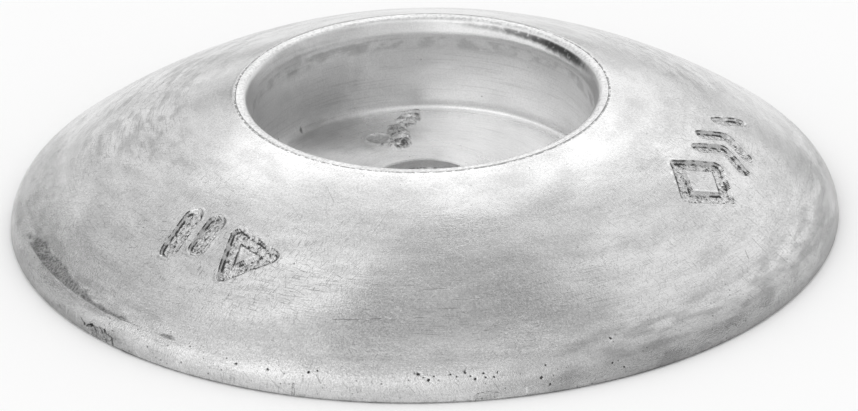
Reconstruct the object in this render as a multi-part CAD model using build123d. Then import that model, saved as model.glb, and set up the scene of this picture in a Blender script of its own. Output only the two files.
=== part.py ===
"""Disc anode for a hull or a rudder: a domed zinc casting with a pressed steel cup cast into its middle.

Millimetres, +Z up. The origin is the centre of the flat back, which lies against the hull, and +Z is
the axis of the disc, of the cup and of the bolt that holds them. Both pieces are bodies of revolution
about that axis, drawn as half sections with x as the radius and y as the height above the back. The
zinc is poured round the cup, so its pocket is the outer surface of the cup, and the top of the cup's
lip is level with the zinc that it meets.
"""

import os
from math import atan2, cos, sqrt, tan

from build123d import *

# Zinc casting
DISC_DIAMETER = 90.0
RIM_HEIGHT = 15.0          # of the zinc where it meets the lip of the cup
EDGE_ROUND = 3.4           # where the dome turns down to the foot
FOOT_BREAK = 0.25          # edge of the back
SEAM_BREAK = 0.1           # edge of the zinc along the lip

# Steel cup
MOUTH_DIAMETER = 38.3      # inside, at the top of the lip
WELL_DIAMETER = 37.0       # inside, below the flared lip
WELL_DEPTH = 10.7          # from the top of the lip to the floor
SHEET = 1.0                # thickness of the steel
FLARE_HEIGHT = 1.55        # of the lip, where the wall opens from the well to the mouth
FLOOR_BEND = 0.65          # inside, where the wall runs into the floor
LIP_BEVEL = 0.3            # inner edge of the lip
LIP_BREAK = 0.1            # outer edge of the lip, along the zinc

# Bolt hole, through cup and casting
BOLT_HOLE_DIAMETER = 11.0
PIERCE_BREAK = 0.15        # its edge on the floor of the cup
BACK_BREAK = 0.5           # its edge on the back of the zinc

disc_radius = DISC_DIAMETER / 2
mouth_radius = MOUTH_DIAMETER / 2
well_radius = WELL_DIAMETER / 2
hole_radius = BOLT_HOLE_DIAMETER / 2
floor_height = RIM_HEIGHT - WELL_DEPTH
flare_angle = atan2(mouth_radius - well_radius, FLARE_HEIGHT)
corner_flat = (2 - sqrt(2)) * (FLOOR_BEND + SHEET)      # outside the bend, struck flat one sheet away
lip_radius = mouth_radius + SHEET / cos(flare_angle)    # outside, where zinc and steel meet


def room_inside(mouth, flare_foot, floor):
    """Section from the axis out to a wall that flares at its top, with a sharp corner at its floor."""
    outline = Polyline((0, floor), (flare_foot.X, floor), flare_foot, mouth, (0, mouth.Y), close=True)
    return make_face(outline)


def corner(section, radius, height):
    return section.vertices().sort_by_distance((radius, height))[0]


def well_section():
    """The open inside of the cup."""
    mouth = Vector(mouth_radius, RIM_HEIGHT)
    flare_foot = Vector(well_radius, RIM_HEIGHT - FLARE_HEIGHT)
    well = room_inside(mouth, flare_foot, floor_height)
    return fillet(corner(well, well_radius, floor_height), FLOOR_BEND)


def pocket_section():
    """The cup with its inside filled, one sheet larger than the well: what the zinc is poured round."""
    outside = well_radius + SHEET
    lip = Vector(lip_radius, RIM_HEIGHT)
    flare_foot = Vector(outside, RIM_HEIGHT - FLARE_HEIGHT - SHEET * tan(flare_angle / 2))
    base = floor_height - SHEET
    pocket = room_inside(lip, flare_foot, base)
    return chamfer(corner(pocket, outside, base), corner_flat)


def bolt_room():
    """What the bolt hole takes from a section."""
    return Rectangle(hole_radius, DISC_DIAMETER, align=(Align.MIN, Align.CENTER))


def cup_section():
    steel = pocket_section() - well_section() - bolt_room()
    steel = chamfer(corner(steel, mouth_radius, RIM_HEIGHT), LIP_BEVEL)
    steel = chamfer(corner(steel, lip_radius, RIM_HEIGHT), LIP_BREAK)
    return chamfer(corner(steel, hole_radius, floor_height), PIERCE_BREAK)


def dome_centre(seam, edge_centre):
    """Centre on the axis of the sphere through the seam that runs smoothly into the edge round.

    It lies EDGE_ROUND further from the seam than from the centre of that round. At a height h its
    distance from the seam is reach - slope * h, and Pythagoras gives a quadratic in h.
    """
    slope = (seam.Y - edge_centre.Y) / EDGE_ROUND
    reach = (seam.dot(seam) - edge_centre.dot(edge_centre) + EDGE_ROUND**2) / (2 * EDGE_ROUND)
    square = slope**2 - 1
    half_linear = seam.Y - slope * reach
    constant = reach**2 - seam.dot(seam)
    return Vector(0, -(half_linear + sqrt(half_linear**2 - square * constant)) / square)


def casting_outline():
    """Half section of the disc as if it had no cup: flat back, edge round and dome."""
    seam = Vector(lip_radius, RIM_HEIGHT)
    edge_centre = Vector(disc_radius - EDGE_ROUND, FOOT_BREAK)
    centre = dome_centre(seam, edge_centre)
    shoulder = edge_centre + (edge_centre - centre).normalized() * EDGE_ROUND
    side = (disc_radius, FOOT_BREAK)
    foot = (disc_radius - FOOT_BREAK, 0)
    outline = [
        Polyline(seam, (0, RIM_HEIGHT), (0, 0), foot, side),
        RadiusArc(side, shoulder, -EDGE_ROUND),
        RadiusArc(shoulder, seam, -(seam - centre).length),
    ]
    return make_face([edge for line in outline for edge in line.edges()])


def zinc_section():
    zinc = casting_outline() - pocket_section() - bolt_room()
    zinc = chamfer(corner(zinc, lip_radius, RIM_HEIGHT), SEAM_BREAK)
    return chamfer(corner(zinc, hole_radius, 0), BACK_BREAK)


def turned(section):
    """Solid that a half section sweeps out about +Z."""
    return revolve(Plane.XZ * section, axis=Axis.Z)


PIECES = {
    "zinc_body": (zinc_section, Color(0.62, 0.63, 0.65)),
    "insert_cup": (cup_section, Color(0.72, 0.74, 0.78)),
}

os.makedirs("parts", exist_ok=True)
for name, (section, color) in PIECES.items():
    piece = turned(section())
    piece.label = name
    piece.color = color
    export_step(piece, f"parts/{name}.step")
    print(f"{name}: {piece.volume:.1f} mm3, {piece.bounding_box()}")
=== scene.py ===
"""Disc anode for a hull or a rudder, with its finish: a domed zinc casting round a pressed steel cup.

Everything is in metres in the frame of the solid model: the origin is the centre of the flat back and
+Z is the axis of the disc. A place on the casting is given by two angles: its azimuth round the axis,
counted from +X, and its tilt, which is how far the surface there leans away from level.
"""

from math import asin, atan2, cos, inf, pi, radians, sin, sqrt, tan, tau

import bmesh
import bpy
from bpy.props import FloatProperty, FloatVectorProperty, IntProperty, PointerProperty
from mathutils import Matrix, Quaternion, Vector, noise


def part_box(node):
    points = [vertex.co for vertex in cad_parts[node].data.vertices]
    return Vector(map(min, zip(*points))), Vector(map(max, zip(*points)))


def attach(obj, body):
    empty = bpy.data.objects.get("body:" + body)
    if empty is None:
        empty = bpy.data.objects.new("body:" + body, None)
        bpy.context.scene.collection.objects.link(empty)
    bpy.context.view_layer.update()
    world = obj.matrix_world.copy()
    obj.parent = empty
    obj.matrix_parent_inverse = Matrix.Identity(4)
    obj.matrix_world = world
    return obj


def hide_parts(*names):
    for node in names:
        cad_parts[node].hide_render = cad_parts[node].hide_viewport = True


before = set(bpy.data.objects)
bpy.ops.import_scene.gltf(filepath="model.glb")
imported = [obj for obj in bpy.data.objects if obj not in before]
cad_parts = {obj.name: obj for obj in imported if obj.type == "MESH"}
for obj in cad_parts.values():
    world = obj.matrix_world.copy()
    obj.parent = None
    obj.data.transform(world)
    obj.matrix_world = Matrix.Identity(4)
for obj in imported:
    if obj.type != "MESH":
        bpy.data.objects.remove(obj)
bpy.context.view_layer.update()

bl_info = {
    "name": "Disc Anode",
    "version": (1, 0, 0),
    "blender": (4, 5, 0),
    "location": "3D View > Sidebar > Anode",
    "description": "Models and finishes a domed zinc disc anode with a pressed steel cup",
    "category": "Add Mesh",
}

MM = 0.001
DISC_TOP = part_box("zinc_body")[1]


# ---------------------------------------------------------------- sizes and colours

def length(name, description, default):
    return FloatProperty(
        name=name, description=description, default=default, min=0.0, unit="LENGTH", precision=5)


def share(name, description, default):
    return FloatProperty(
        name=name, description=description, default=default, min=0.0, max=1.0, subtype="FACTOR")


def colour(name, description, default):
    return FloatVectorProperty(
        name=name, description=description, default=default, min=0.0, max=1.0, size=3, subtype="COLOR")


def turn(name, description, default):
    return FloatProperty(name=name, description=description, default=radians(default), subtype="ANGLE")


def level(name, description, default):
    return FloatProperty(name=name, description=description, default=default, min=0.0, subtype="NONE")


class AnodeCasting(bpy.types.PropertyGroup):
    """Sizes of the zinc casting."""

    disc_radius: length("Disc radius", "From the axis to the side of the disc", DISC_TOP.x)
    rim_height: length("Rim height", "From the back to the zinc along the lip of the cup", DISC_TOP.z)
    edge_round: length("Edge round", "Radius where the dome turns down to the foot", 3.4 * MM)
    foot_break: length("Foot break", "Chamfer of the edge of the back", 0.25 * MM)
    seam_break: length("Seam break", "Rounded edge of the zinc along the lip", 0.05 * MM)
    hole_radius: length("Hole radius", "Of the bolt hole", 5.5 * MM)
    back_break: length("Back break", "Chamfer of the bolt hole on the back", 0.5 * MM)
    segments: IntProperty(
        name="Segments", description="Faces round the casting", default=720, min=64, subtype="NONE")
    dome_rings: IntProperty(
        name="Dome rings", description="Rings of faces on the dome", default=44, min=4, subtype="NONE")
    edge_rings: IntProperty(
        name="Edge rings", description="Rings of faces on the edge round", default=11, min=3, subtype="NONE")
    waviness: length("Waviness", "How deep the slow waves of the cast skin are", 0.06 * MM)
    mark_depth: length("Mark depth", "Of the marks sunk in the dome", 0.36 * MM)
    mark_wall: length("Mark wall", "Width of the sloping wall of a stroke", 0.27 * MM)
    mark_burr: length("Mark burr", "Height of the metal pushed up beside a stroke", 0.05 * MM)


class AnodeCup(bpy.types.PropertyGroup):
    """Sizes of the steel cup."""

    mouth_radius: length("Mouth radius", "Inside, at the top of the lip", 19.15 * MM)
    well_radius: length("Well radius", "Inside, below the flared lip", 18.5 * MM)
    well_depth: length("Well depth", "From the top of the lip to the floor", 10.7 * MM)
    sheet: length("Sheet", "Thickness of the steel", 1.0 * MM)
    flare_height: length("Flare height", "Of the part of the wall that opens to the mouth", 1.55 * MM)
    flare_round: length("Flare round", "Radius where the wall starts to open", 1.6 * MM)
    floor_bend: length("Floor bend", "Inside radius where the wall runs into the floor", 0.65 * MM)
    lip_round: length("Lip round", "Rolled inner edge of the lip", 0.8 * MM)
    lip_break: length("Lip break", "Outer edge of the lip, along the zinc", 0.12 * MM)
    pierce_break: length("Pierce break", "Edge of the bolt hole on the floor", 0.15 * MM)
    segments: IntProperty(
        name="Segments", description="Faces round the cup", default=480, min=48, subtype="NONE")
    bend_rings: IntProperty(
        name="Bend rings", description="Rings of faces on each bend", default=8, min=3, subtype="NONE")


class AnodeFinish(bpy.types.PropertyGroup):
    """Colours and gloss of the two metals."""

    zinc: colour("Zinc", "Bare cast zinc where it is cleanest", (0.83, 0.83, 0.83))
    zinc_film: colour("Zinc film", "Zinc under its thin grey oxide", (0.58, 0.58, 0.58))
    # also the colour of the painted shade along the lower side, the crease and the foot of the casting
    zinc_soot_and_shade: colour("Zinc soot", "Dross in pits, scratches and marks", (0.06, 0.06, 0.06))
    zinc_cut: colour("Zinc cut", "Zinc laid bare by a fresh scratch", (0.93, 0.93, 0.93))
    zinc_gloss: share("Zinc roughness", "Of the cleanest zinc", 0.15)
    steel: colour("Steel", "Plated steel of the cup", (0.92, 0.92, 0.92))
    steel_film: colour("Steel film", "Plating dulled by the heat of the pour", (0.78, 0.78, 0.78))
    # also the colour of the painted shade on the floor and in the bolt hole of the cup
    steel_soot_and_shade: colour("Steel soot", "Soot burnt onto the plating", (0.04, 0.04, 0.04))
    steel_gloss: share("Steel roughness", "Of the cleanest plating", 0.3)


class AnodeStudio(bpy.types.PropertyGroup):
    """Camera, lights and floor."""

    floor: colour("Floor", "Colour of the floor", (0.97, 0.97, 0.97))
    camera_distance: length("Camera distance", "From the camera to the middle of the back", 938.5 * MM)
    camera_lens: FloatProperty(
        name="Camera lens", description="Focal length on a 36 mm sensor", default=362.2, min=1.0,
        unit="CAMERA")
    camera_elevation: turn("Camera elevation", "Above the level of the back", 25.823)
    camera_roll: turn("Camera roll", "Turn of the camera about its own line of sight", -1.143)
    sky: level("Sky", "Plain light on the floor and all that isn't shiny", 1.0)
    walls: level("Walls", "Brightness of the studio that shines back off metal", 0.366)
    key: level("Key", "Light of the lamp behind the disc", 0.08)
    side_key: level("Side key", "Light of the lamp at the left of the disc", 0.08)


# ---------------------------------------------------------------- building meshes

def clamped(value):
    """The value, held between 0 and 1."""
    return min(1.0, max(0.0, value))


def tent(value, peak, half_width):
    """1 at the peak, falling straight to 0 a half width away on both sides."""
    return max(0.0, 1 - abs(value - peak) / half_width)


def patches(point, size, level, contrast):
    """From 0 to 1: soft patches of about a size and about a level."""
    return clamped(level + contrast * noise.noise(point / size))


def wavy(flat, point, wave, wave_length, second_draw):
    """A flat place moved a little, so that whatever is drawn there gets wavy borders."""
    at = point / wave_length
    return flat + wave * Vector((noise.noise(at), noise.noise(at + Vector(second_draw))))


def sideways(azimuth):
    """Unit vector round the axis at an azimuth."""
    return Vector((-sin(azimuth), cos(azimuth), 0))


def arc(centre, radius, start, end, steps):
    """Points of a section on an arc. The angles are tilts: 0 is straight above the centre."""
    tilts = [start + (end - start) * i / steps for i in range(steps + 1)]
    return [centre + radius * Vector((sin(t), cos(t))) for t in tilts]


def steps_between(start, end, count):
    """Points of a section from start to end, without the start."""
    return [start.lerp(end, (i + 1) / count) for i in range(count)]


def turned(section, segments):
    """A bmesh that a closed section of (radius, height) points sweeps out about +Z."""
    bm = bmesh.new()
    ring = [bm.verts.new((point.x, 0.0, point.y)) for point in section]
    for a, b in zip(ring, ring[1:] + ring[:1]):
        bm.edges.new((a, b))
    bmesh.ops.spin(
        bm, geom=bm.verts[:] + bm.edges[:], cent=(0, 0, 0), axis=(0, 0, 1), angle=tau, steps=segments,
        use_merge=True)
    bmesh.ops.recalc_face_normals(bm, faces=bm.faces)
    return bm


def made_piece(name, bm, material, node, sharp_from=radians(38)):
    """The finished object of a bmesh, riding on the root body in place of its CAD node."""
    mesh = bpy.data.meshes.new(name)
    bm.to_mesh(mesh)
    bm.free()
    mesh.shade_smooth()
    mesh.set_sharp_from_angle(angle=sharp_from)
    mesh.materials.append(material)
    piece = bpy.data.objects.new(name, mesh)
    bpy.context.scene.collection.objects.link(piece)
    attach(piece, "root")
    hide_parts(node)
    return piece


# ---------------------------------------------------------------- zinc casting

def flare_of(cup):
    """Angle by which the wall leans outwards below the lip."""
    return atan2(cup.mouth_radius - cup.well_radius, cup.flare_height)


def lip_outside(cup):
    """Radius of the outside of the lip, where the zinc meets the steel."""
    return cup.mouth_radius + cup.sheet / cos(flare_of(cup))


def corner_flat(cup):
    """Legs of the chamfer that stands for the outside of the floor bend, struck flat one sheet away."""
    return (2 - sqrt(2)) * (cup.floor_bend + cup.sheet)


class Dome:
    """The outer skin of the casting: a sphere about the axis that runs into the edge round."""

    def __init__(self, casting, cup):
        self.seam = Vector((lip_outside(cup), casting.rim_height))
        self.edge_round = casting.edge_round
        self.edge_centre = Vector((casting.disc_radius - casting.edge_round, casting.foot_break))
        slope = (self.seam.y - self.edge_centre.y) / self.edge_round
        reach = self.seam.dot(self.seam) - self.edge_centre.dot(self.edge_centre) + self.edge_round**2
        reach /= 2 * self.edge_round
        square = slope**2 - 1
        half_linear = self.seam.y - slope * reach
        constant = reach**2 - self.seam.dot(self.seam)
        root = sqrt(half_linear**2 - square * constant)
        self.centre = Vector((0, -(half_linear + root) / square))
        self.radius = (self.seam - self.centre).length
        self.seam_tilt = asin(self.seam.x / self.radius)
        self.shoulder_tilt = asin(self.edge_centre.x / (self.radius - self.edge_round))

    def place(self, azimuth, tilt):
        """Point and outward normal at an azimuth and a tilt."""
        if tilt < self.shoulder_tilt:
            middle, radius = self.centre, self.radius
        else:
            middle, radius = self.edge_centre, self.edge_round
        around = Vector((cos(azimuth), sin(azimuth), 0))
        normal = around * sin(tilt) + Vector((0, 0, cos(tilt)))
        return around * middle.x + Vector((0, 0, middle.y)) + normal * radius, normal

    def tilt_of_radius(self, radius):
        return asin(radius / self.radius)


def zinc_section(casting, cup, dome):
    """Half section of the casting, from the seam outwards and round to the pocket of the cup."""
    outside = cup.well_radius + cup.sheet
    base = casting.rim_height - cup.well_depth - cup.sheet
    flare = flare_of(cup)
    flare_foot = casting.rim_height - cup.flare_height - cup.sheet * tan(flare / 2)
    first_tilt = dome.seam_tilt + casting.seam_break / dome.radius
    skin = arc(dome.centre, dome.radius, first_tilt, dome.shoulder_tilt, casting.dome_rings)
    skin += arc(dome.edge_centre, dome.edge_round, dome.shoulder_tilt, pi / 2, casting.edge_rings)[1:]
    rest = [
        (casting.disc_radius - casting.foot_break, 0),
        (casting.hole_radius + casting.back_break, 0),
        (casting.hole_radius, casting.back_break),
        (casting.hole_radius, base),
        (outside - corner_flat(cup), base),
        (outside, base + corner_flat(cup)),
        (outside, flare_foot),
        (dome.seam.x - casting.seam_break * sin(flare), dome.seam.y - casting.seam_break * cos(flare)),
    ]
    return skin + [Vector(point) for point in rest]


def segment_distance(point, start, end):
    """Distance of a point from the straight line between a start and an end."""
    along = end - start
    share_along = clamped((point - start).dot(along) / along.length_squared)
    return (point - start - along * share_along).length


def outline_strokes(sides, radius, turned_by=0.0, squeeze=1.0):
    """Strokes of a closed outline of equal sides, squeezed along the slope."""
    corners = []
    for i in range(sides):
        angle = turned_by + tau * i / sides
        corners.append(Vector((radius * cos(angle), squeeze * radius * sin(angle))))
    return list(zip(corners, corners[1:] + corners[:1]))


def bar_stroke(length, across=0.0, along=0.0):
    """One straight stroke down the slope of the dome, moved across and along it."""
    return (Vector((across, along - length / 2)), Vector((across, along + length / 2)))


def chevron_strokes(width, height, along=0.0):
    """Two strokes that meet in a point."""
    tip = Vector((0, along + height / 2))
    return [(Vector((side * width / 2, along - height / 2)), tip) for side in (-1, 1)]


BARS = [bar_stroke(4.6 * MM, -1.7 * MM), bar_stroke(3.4 * MM, 1.5 * MM, -0.5 * MM)]
TRIANGLE = outline_strokes(3, 3.1 * MM, pi / 2)
LOZENGE = outline_strokes(4, 4.0 * MM, 0.0, 0.8)
CHEVRONS = chevron_strokes(5.4 * MM, 2.3 * MM, -1.6 * MM) + chevron_strokes(5.4 * MM, 2.3 * MM, 1.6 * MM)

MARKS = (
    # azimuth in degrees, radius, turn in degrees, strokes, width of their floor
    (-136.7, 33.7 * MM, 8, BARS, 1.7 * MM),
    (-124.4, 33.8 * MM, -16, TRIANGLE, 1.1 * MM),
    (-24.4, 32.7 * MM, 0, LOZENGE, 1.1 * MM),
    (-8.8, 32.8 * MM, 90, CHEVRONS, 1.0 * MM),
    (3.6, 33.3 * MM, 40, [bar_stroke(4.0 * MM)], 1.0 * MM),
)


class SunkMark:
    """A mark of straight strokes pressed into the dome, with ragged borders and dross along them."""

    BORDER_WAVE = 0.07 * MM
    BORDER_WAVE_LENGTH = 0.9 * MM
    FLOOR_GRIT = 0.09 * MM
    GRIT_SIZE = 0.28 * MM

    def __init__(self, casting, dome, azimuth, radius, turned_by, strokes, width):
        self.centre, normal = dome.place(radians(azimuth), dome.tilt_of_radius(radius))
        across = sideways(radians(azimuth))
        spin = Quaternion(normal, radians(turned_by))
        self.across = spin @ across
        self.down = spin @ across.cross(normal)
        self.strokes = strokes
        self.floor = width / 2
        self.wall = casting.mark_wall
        self.depth = casting.mark_depth
        self.burr = casting.mark_burr
        self.reach = 5.2 * MM

    def sunk(self, point):
        """Height above the dome at a point, and how much dross lies there."""
        away = point - self.centre
        flat = Vector((away.dot(self.across), away.dot(self.down)))
        flat = wavy(flat, point, self.BORDER_WAVE, self.BORDER_WAVE_LENGTH, (7, 3, 1))
        distance = min(segment_distance(flat, *stroke) for stroke in self.strokes)
        up_the_wall = (distance - self.floor) / self.wall
        grit = noise.fractal(point / self.GRIT_SIZE, 0.6, 2.0, 4)
        corner = tent(up_the_wall, 0, 0.6)
        brink = 0.8 * tent(up_the_wall, 1, 0.5)
        patchy = patches(point, 0.8 * MM, 0.6, 1.6)
        if up_the_wall <= 0:
            return self.FLOOR_GRIT * grit - self.depth, max(corner * patchy, 0.16 + 0.6 * grit)
        if up_the_wall <= 1:
            return self.depth * (up_the_wall - 1), max(corner, brink) * patchy
        raised = self.burr * tent(up_the_wall, 1.6, 0.8)
        return raised * (0.6 + noise.noise(point / (0.5 * MM))), brink * patchy


PITS = (
    # of the edge round: azimuth and tilt in degrees, radius and depth in millimetres
    (-91.3, 38.0, 0.24, 0.16), (-89.9, 50.0, 0.22, 0.15), (-90.6, 45.0, 0.12, 0.1),
    (-89.2, 43.0, 0.13, 0.1), (-86.9, 40.5, 0.14, 0.1), (-86.1, 45.0, 0.13, 0.1),
    (-84.9, 39.0, 0.16, 0.12), (-83.6, 52.0, 0.2, 0.14), (-84.2, 46.0, 0.13, 0.1),
    (-82.4, 42.0, 0.17, 0.13), (-82.2, 50.0, 0.13, 0.1), (-81.0, 51.0, 0.15, 0.11),
    (-80.5, 44.0, 0.12, 0.09), (-74.6, 62.0, 0.22, 0.14), (-73.7, 40.5, 0.15, 0.11),
    (-73.5, 75.0, 0.14, 0.1), (-64.3, 60.0, 0.15, 0.11), (-62.7, 72.0, 0.15, 0.11),
    (-63.2, 36.7, 0.2, 0.14), (-116.9, 50.0, 0.15, 0.11), (-112.2, 50.0, 0.17, 0.12),
    (-106.4, 45.0, 0.18, 0.13), (-105.2, 40.5, 0.15, 0.11),
    (-142.6, 74.0, 0.24, 0.2), (-139.6, 71.0, 0.26, 0.22), (-143.9, 78.0, 0.2, 0.16),
)


class Pit:
    """A small round blowhole."""

    RAGGED = 0.35
    RAG_SIZE = 0.16 * MM

    def __init__(self, dome, azimuth, tilt, radius, depth):
        self.centre = dome.place(radians(azimuth), radians(tilt))[0]
        self.radius = radius * MM
        self.depth = depth * MM
        self.reach = self.radius * 1.8

    def sunk(self, point):
        distance = (point - self.centre).length / self.radius
        distance += self.RAGGED * noise.noise(point / self.RAG_SIZE)
        if distance >= 1:
            return 0.0, 0.0
        return -self.depth * (1 - distance**2), 1 - distance**2


class Flake:
    """A shallow patch broken or bruised out of the skin, with a steep border."""

    RAGGED = 0.22
    RAG_SIZE = 0.6 * MM
    GRIT_SIZE = 0.5 * MM
    BORDER = 0.12       # as a share of the patch
    DROSS_BORDER = 0.14

    def __init__(self, dome, azimuth, tilt, half_width, half_height, depth, roughness):
        self.centre = dome.place(radians(azimuth), radians(tilt))[0]
        self.across = sideways(radians(azimuth))
        self.half_width = half_width
        self.half_height = half_height
        self.depth = depth
        self.roughness = roughness
        self.reach = max(half_width, half_height) * 1.25

    def sunk(self, point):
        away = point - self.centre
        u = away.dot(self.across)
        v = (away - self.across * u).length
        inside = 1 - sqrt((u / self.half_width) ** 2 + (v / self.half_height) ** 2)
        inside += self.RAGGED * noise.noise(point / self.RAG_SIZE)
        border = clamped(inside / self.BORDER)
        grit = self.roughness * noise.fractal(point / self.GRIT_SIZE, 0.7, 2.0, 3)
        ragged = patches(point, 0.55 * MM, 0.35, 1.8)
        upper = clamped(0.2 + 2 * away.z / self.half_height)
        rim = upper * ragged * tent(inside, 0, self.DROSS_BORDER)
        return -border * (self.depth + grit), max(rim, 0.2 * border)


FLAKES = (
    # azimuth and tilt in degrees, half width, half height, depth, roughness
    (-140.6, 81.0, 2.1 * MM, 0.7 * MM, 0.16 * MM, 0.16 * MM),
    (-138.0, 72.0, 0.8 * MM, 0.5 * MM, 0.06 * MM, 0.03 * MM),
    (-108.3, 80.0, 0.16 * MM, 0.7 * MM, 0.14 * MM, 0.02 * MM),
    (-82.0, 84.0, 1.75 * MM, 0.42 * MM, 0.1 * MM, 0.01 * MM),
)


class Cover:
    """A stretch of the skin with a finish of its own, thinning out towards its border."""

    RAGGED = 0.3
    RAG_SIZE = 3 * MM

    def __init__(self, azimuth, down, half_width, half_height, softness):
        self.azimuth = radians(azimuth)
        self.down = down * MM
        self.half_width = half_width * MM
        self.half_height = half_height * MM
        self.softness = softness

    def share(self, point):
        radius = point.xy.length
        turn_away = (atan2(point.y, point.x) - self.azimuth + pi) % tau - pi
        distance = Vector((
            radius * turn_away / self.half_width, (radius - point.z - self.down) / self.half_height)).length
        distance += self.RAGGED * noise.noise(point / self.RAG_SIZE)
        step = clamped((1 + self.softness - distance) / (2 * self.softness))
        return step * step * (3 - 2 * step)


# azimuth in degrees; radius less height, half width, half height in millimetres; softness
STAINED = ((-157, 40.2, 9.0, 1.6, 0.45), (-143, 40.6, 8.0, 0.5, 0.5), (-128.5, 40.5, 1.3, 0.45, 0.6))
# the far left edge darker: partly a smudge, partly painted shade
SMUDGED_AND_SHADED = ((-170, 38.0, 15.0, 3.4, 0.8),)
# painted shade: the lower side darker at the right and at the left, standing in for the reflection of a
# shadowed floor
SHADED_SIDES = ((-28, 43.0, 33.0, 30.0, 0.3), (-156, 43.0, 17.0, 30.0, 0.5))
RUBBED = ((-88, 30.0, 19.5, 5.2, 0.35),)
SCUFFED = ((-128, 27.7, 12.5, 8.0, 0.4),)
WEATHERED = ((140, 19.0, 26.0, 15.0, 0.5), (40, 22.0, 12.0, 7.0, 0.7))
# grime_and_shade holds the stains, the far left smudge and the painted shade of the sides
FINISHES = {"grime_and_shade": (STAINED, SMUDGED_AND_SHADED, SHADED_SIDES), "wear": (RUBBED, SCUFFED, WEATHERED)}


def lay_finishes(bm):
    """Writes how much of each finish covers each vertex, three finishes to an attribute."""
    for name, finishes in FINISHES.items():
        layer = bm.verts.layers.float_vector.new(name)
        covers = [[Cover(*cover) for cover in finish] for finish in finishes]
        for vertex in bm.verts:
            vertex[layer] = [max(cover.share(vertex.co) for cover in group) for group in covers]


def refined(bm, features, cuts=3):
    """Cuts the faces near the features finer."""
    edges = set()
    for face in bm.faces:
        middle = face.calc_center_median()
        if any((middle - feature.centre).length < feature.reach for feature in features):
            edges.update(face.edges)
    bmesh.ops.subdivide_edges(bm, edges=list(edges), cuts=cuts, use_grid_fill=True)


def on_the_skin(dome, vertex):
    """Brings a vertex back onto the true skin and returns its normal, or None on another face."""
    radius, height = vertex.co.xy.length, vertex.co.z
    tolerance = 0.02 * MM
    from_edge = Vector((radius, height)) - dome.edge_centre
    from_centre = Vector((radius, height)) - dome.centre
    on_edge = from_edge.x > 0 and from_edge.y > -tolerance / 10
    on_edge = on_edge and abs(from_edge.length - dome.edge_round) < tolerance
    on_dome = abs(from_centre.length - dome.radius) < tolerance and radius > dome.seam.x
    if on_edge and atan2(from_edge.x, from_edge.y) >= dome.shoulder_tilt - 1e-4:
        tilt = atan2(from_edge.x, from_edge.y)
    elif on_dome:
        tilt = atan2(from_centre.x, from_centre.y)
    else:
        return None
    vertex.co, normal = dome.place(atan2(vertex.co.y, vertex.co.x), tilt)
    return normal


def slow_wave(point):
    """From 0 to 1: the gentle unevenness of a skin that froze against a hot mould."""
    broad = noise.noise(point / (17 * MM))
    middling = noise.noise(point / (6 * MM) + Vector((3, 5, 9)))
    return clamped(0.5 + 0.42 * broad + 0.16 * middling)


def zinc_mesh(casting, cup):
    dome = Dome(casting, cup)
    features = [SunkMark(casting, dome, *mark) for mark in MARKS]
    features += [Pit(dome, *pit) for pit in PITS]
    features += [Flake(dome, *flake) for flake in FLAKES]
    bm = turned(zinc_section(casting, cup, dome), casting.segments)
    refined(bm, features)
    dirt = bm.verts.layers.float.new("dirt")
    for vertex in bm.verts:
        normal = on_the_skin(dome, vertex)
        if normal is None:
            continue
        height = -casting.waviness * slow_wave(vertex.co)
        for feature in features:
            if (vertex.co - feature.centre).length < feature.reach * 1.2:
                rise, dross = feature.sunk(vertex.co)
                height += rise
                vertex[dirt] = max(vertex[dirt], dross)
        vertex.co += normal * height
    lay_finishes(bm)
    bmesh.ops.recalc_face_normals(bm, faces=bm.faces)
    return bm


# ---------------------------------------------------------------- steel cup

def cup_section(casting, cup):
    """Half section of the cup, from the inside of the lip down, out under the floor and up again."""
    top = casting.rim_height
    floor = top - cup.well_depth
    flare = flare_of(cup)
    opening = Vector((sin(flare), cos(flare)))
    outside = cup.well_radius + cup.sheet
    lip = lip_outside(cup)
    hole = casting.hole_radius

    lip_tangent = cup.lip_round * tan((pi / 2 - flare) / 2)
    lip_centre = Vector((cup.mouth_radius + lip_tangent, top - cup.lip_round))
    flare_top = Vector((cup.mouth_radius, top)) - opening * lip_tangent
    flare_foot = Vector((cup.well_radius, top - cup.flare_height))
    flare_tangent = cup.flare_round * tan(flare / 2)
    flare_start = flare_foot + opening * flare_tangent
    bend_centre = Vector((cup.well_radius - cup.floor_bend, floor + cup.floor_bend))
    wall_top = Vector((cup.well_radius, flare_foot.y - flare_tangent))
    flare_centre = wall_top + Vector((cup.flare_round, 0))
    wall_foot = Vector((cup.well_radius, bend_centre.y))
    floor_start = Vector((bend_centre.x, floor))
    floor_end = Vector((hole + cup.pierce_break, floor))

    points = arc(lip_centre, cup.lip_round, 0, flare - pi / 2, cup.bend_rings)
    points += steps_between(flare_top, flare_start, 5)
    points += arc(flare_centre, cup.flare_round, flare - pi / 2, -pi / 2, cup.bend_rings - 1)[1:]
    points += steps_between(wall_top, wall_foot, 10)
    points += arc(bend_centre, cup.floor_bend, pi / 2, pi, cup.bend_rings)[1:]
    points += steps_between(floor_start, floor_end, 14)
    points += [
        Vector((hole, floor - cup.pierce_break)),
        Vector((hole, floor - cup.sheet)),
        Vector((outside - corner_flat(cup), floor - cup.sheet)),
        Vector((outside, floor - cup.sheet + corner_flat(cup))),
        Vector((outside, flare_foot.y - cup.sheet * tan(flare / 2))),
        Vector((lip, top)) - opening * cup.lip_break,
        Vector((lip - cup.lip_break, top)),
    ]
    return points


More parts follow.
